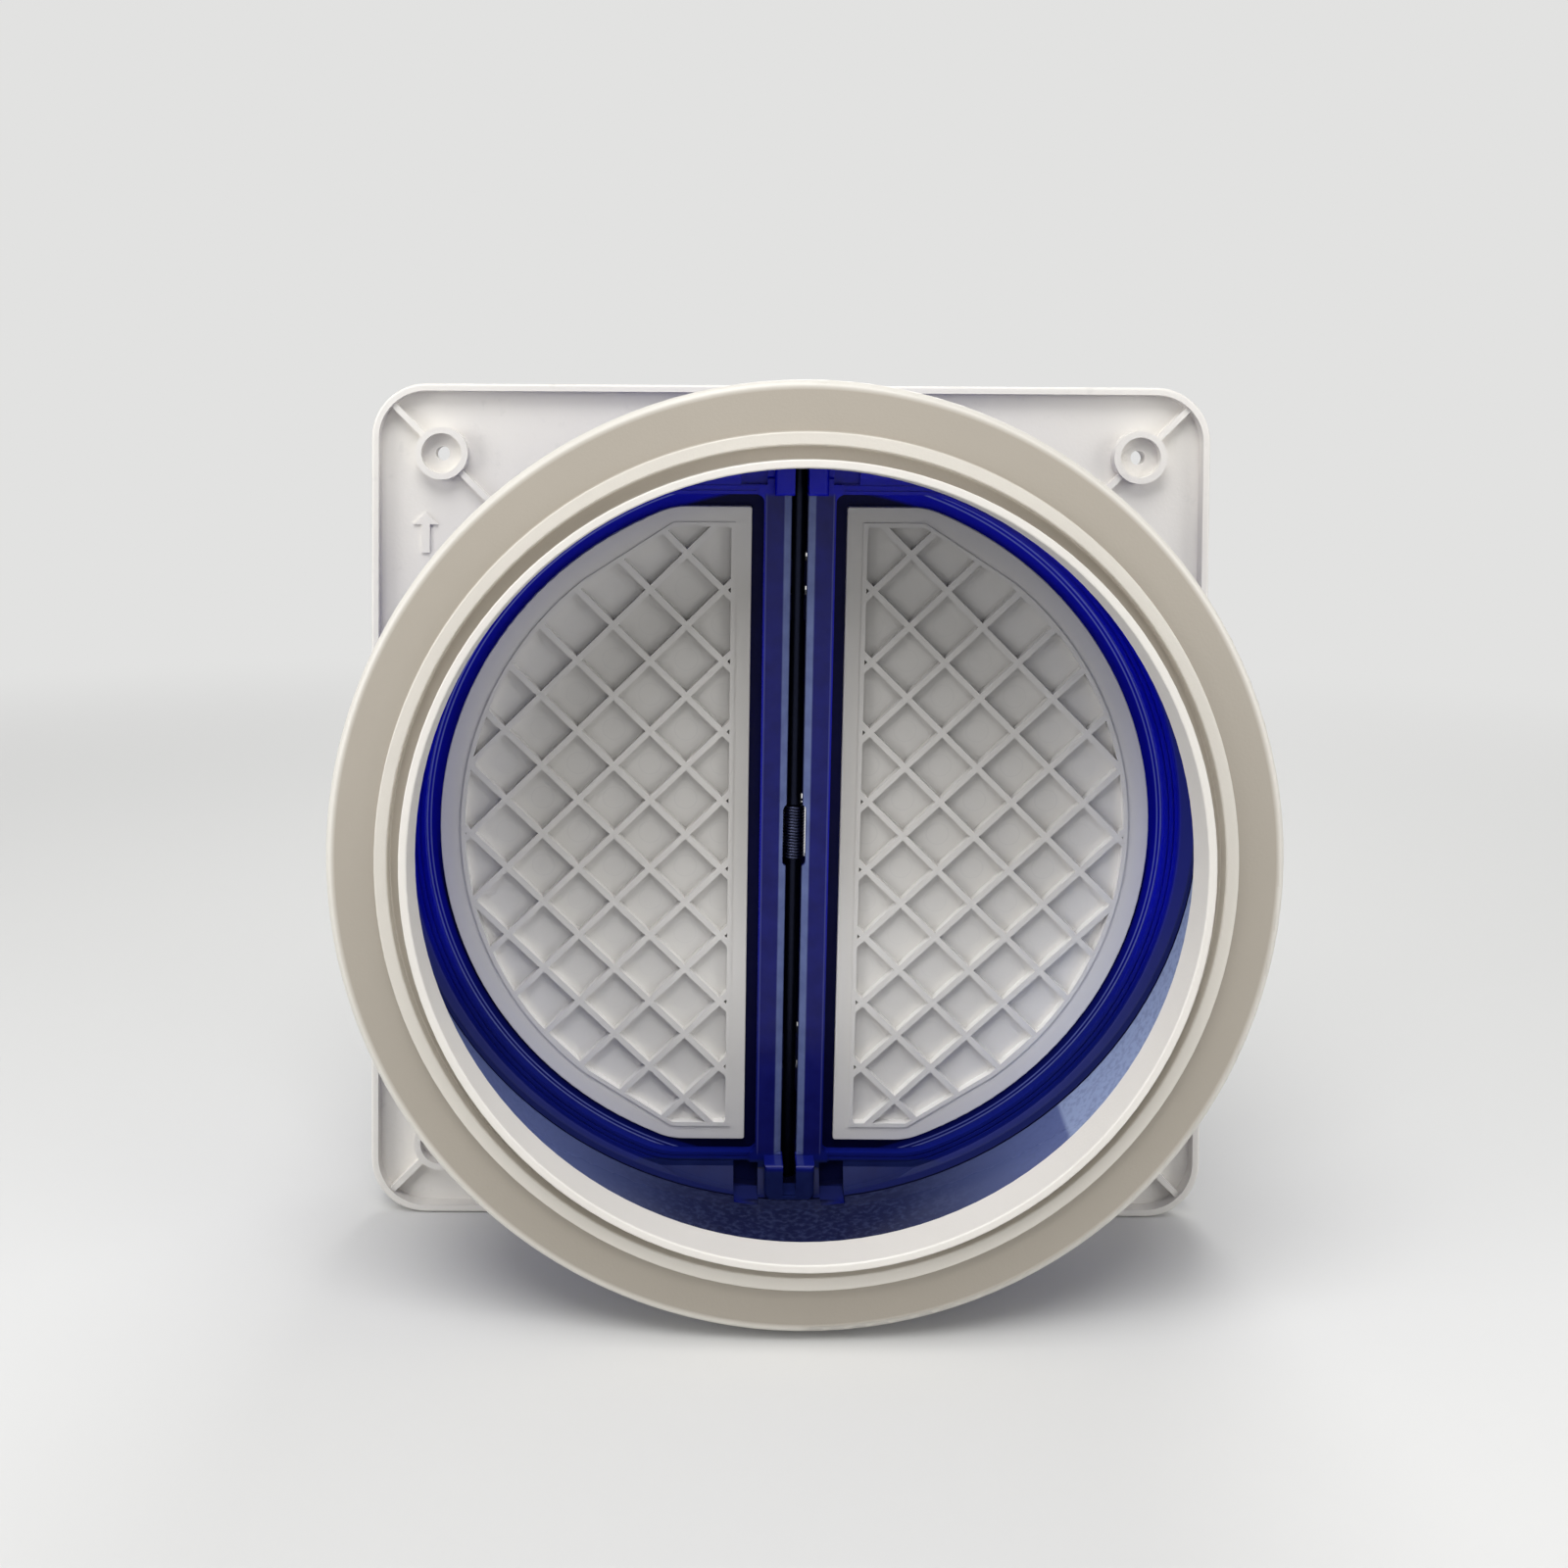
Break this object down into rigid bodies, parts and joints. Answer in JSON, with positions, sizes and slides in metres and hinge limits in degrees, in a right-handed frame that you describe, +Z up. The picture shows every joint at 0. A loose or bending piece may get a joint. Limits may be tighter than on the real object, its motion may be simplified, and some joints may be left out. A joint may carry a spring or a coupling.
{
  "type": "backdraft damper",
  "caption": "Wall duct damper: square screw-on plate, stepped duct collar and two half-moon lattice flaps hinged on an inclined seat, opening into the flue.",
  "frame": {"origin": "centre of the four plate screws, on the plate's back face, which lies on the wall", "axes": "+X to the right seen from the room, +Z up as the plate's arrow points, +Y away from the room into the flue, along the duct axis"},
  "size_m": [0.184, 0.1112, 0.184],
  "materials": {
    "plate": "satin moulded plastic, cool white",
    "collar": "satin moulded plastic, warm white",
    "body": "glossy deep blue plastic, slightly see-through",
    "pin": "drawn steel rod",
    "spring": "drawn spring wire",
    "flap_right": "satin moulded plastic, light grey white",
    "flap_left": "satin moulded plastic, light grey white",
    "seal_right": "soft dark blue seal",
    "seal_left": "soft dark blue seal"
  },
  "bodies": {
    "housing": {"mounting_plate": "plate", "duct_collar": "collar", "valve_body": "body", "hinge_pin": "pin", "torsion_spring": "spring"},
    "right_flap": {"flap_right": "flap_right", "seal_right": "seal_right"},
    "left_flap": {"flap_left": "flap_left", "seal_left": "seal_left"}
  },
  "joints": [
    {"name": "right_flap_hinge", "type": "hinge", "parent": "housing", "child": "right_flap", "pos_m": [0, -0.02184, -0.00185], "axis": [0, -0.1392, 0.9903], "range_deg": [0, 80], "stiffness_Nm_per_rad": 0.004, "springref_deg": -17.19, "deforming": ["torsion_spring"]},
    {"name": "left_flap_hinge", "type": "hinge", "parent": "housing", "child": "left_flap", "pos_m": [0, -0.02184, -0.00185], "axis": [0, 0.1392, -0.9903], "range_deg": [0, 80], "stiffness_Nm_per_rad": 0.004, "springref_deg": -17.19, "deforming": ["torsion_spring"]}
  ]
}
